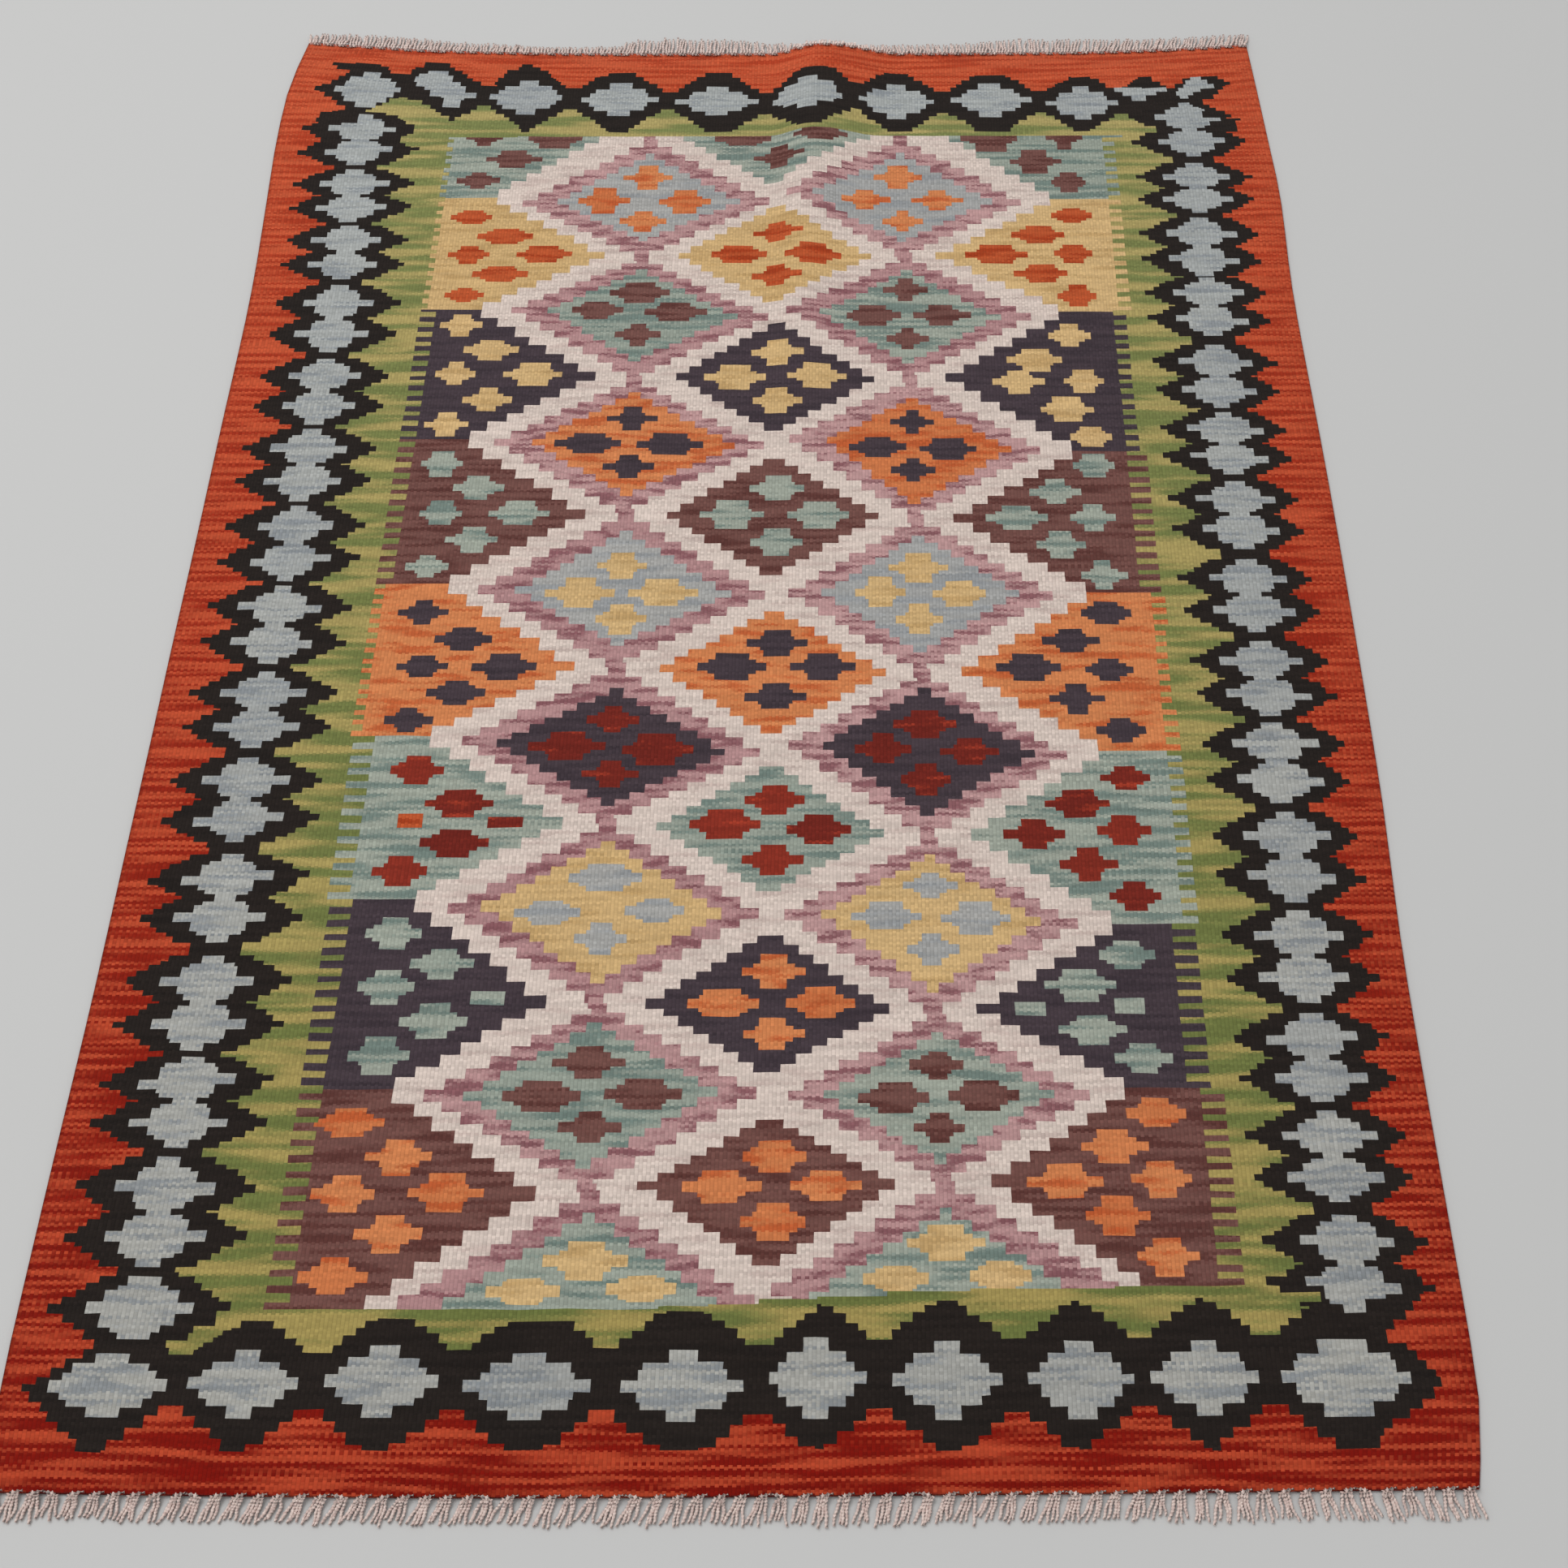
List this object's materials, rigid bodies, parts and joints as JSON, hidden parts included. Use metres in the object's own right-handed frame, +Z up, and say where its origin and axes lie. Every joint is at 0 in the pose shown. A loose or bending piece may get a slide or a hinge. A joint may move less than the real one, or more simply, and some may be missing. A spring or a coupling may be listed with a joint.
{
  "type": "flat-woven kilim rug",
  "caption": "Flat-woven wool rug with stepped diamonds in a meander border and a short knotted warp fringe at both ends, lying flat.",
  "frame": {"origin": "middle of the floor area that the rug and its fringe cover, at floor level", "axes": "+X across the width, +Y along the length towards the end with the ridge, +Z up from the floor"},
  "size_m": [1.0224, 1.5432, 0.0155],
  "materials": {
    "dyed_wool": "matt weft-faced wool weave in many dyed colours",
    "warp_cotton": "matt undyed cotton warp yarn, tinged pink by the dyes"
  },
  "bodies": {
    "root": {"kilim_cloth": "dyed_wool", "far_fringe": "warp_cotton", "near_fringe": "warp_cotton"}
  },
  "joints": []
}
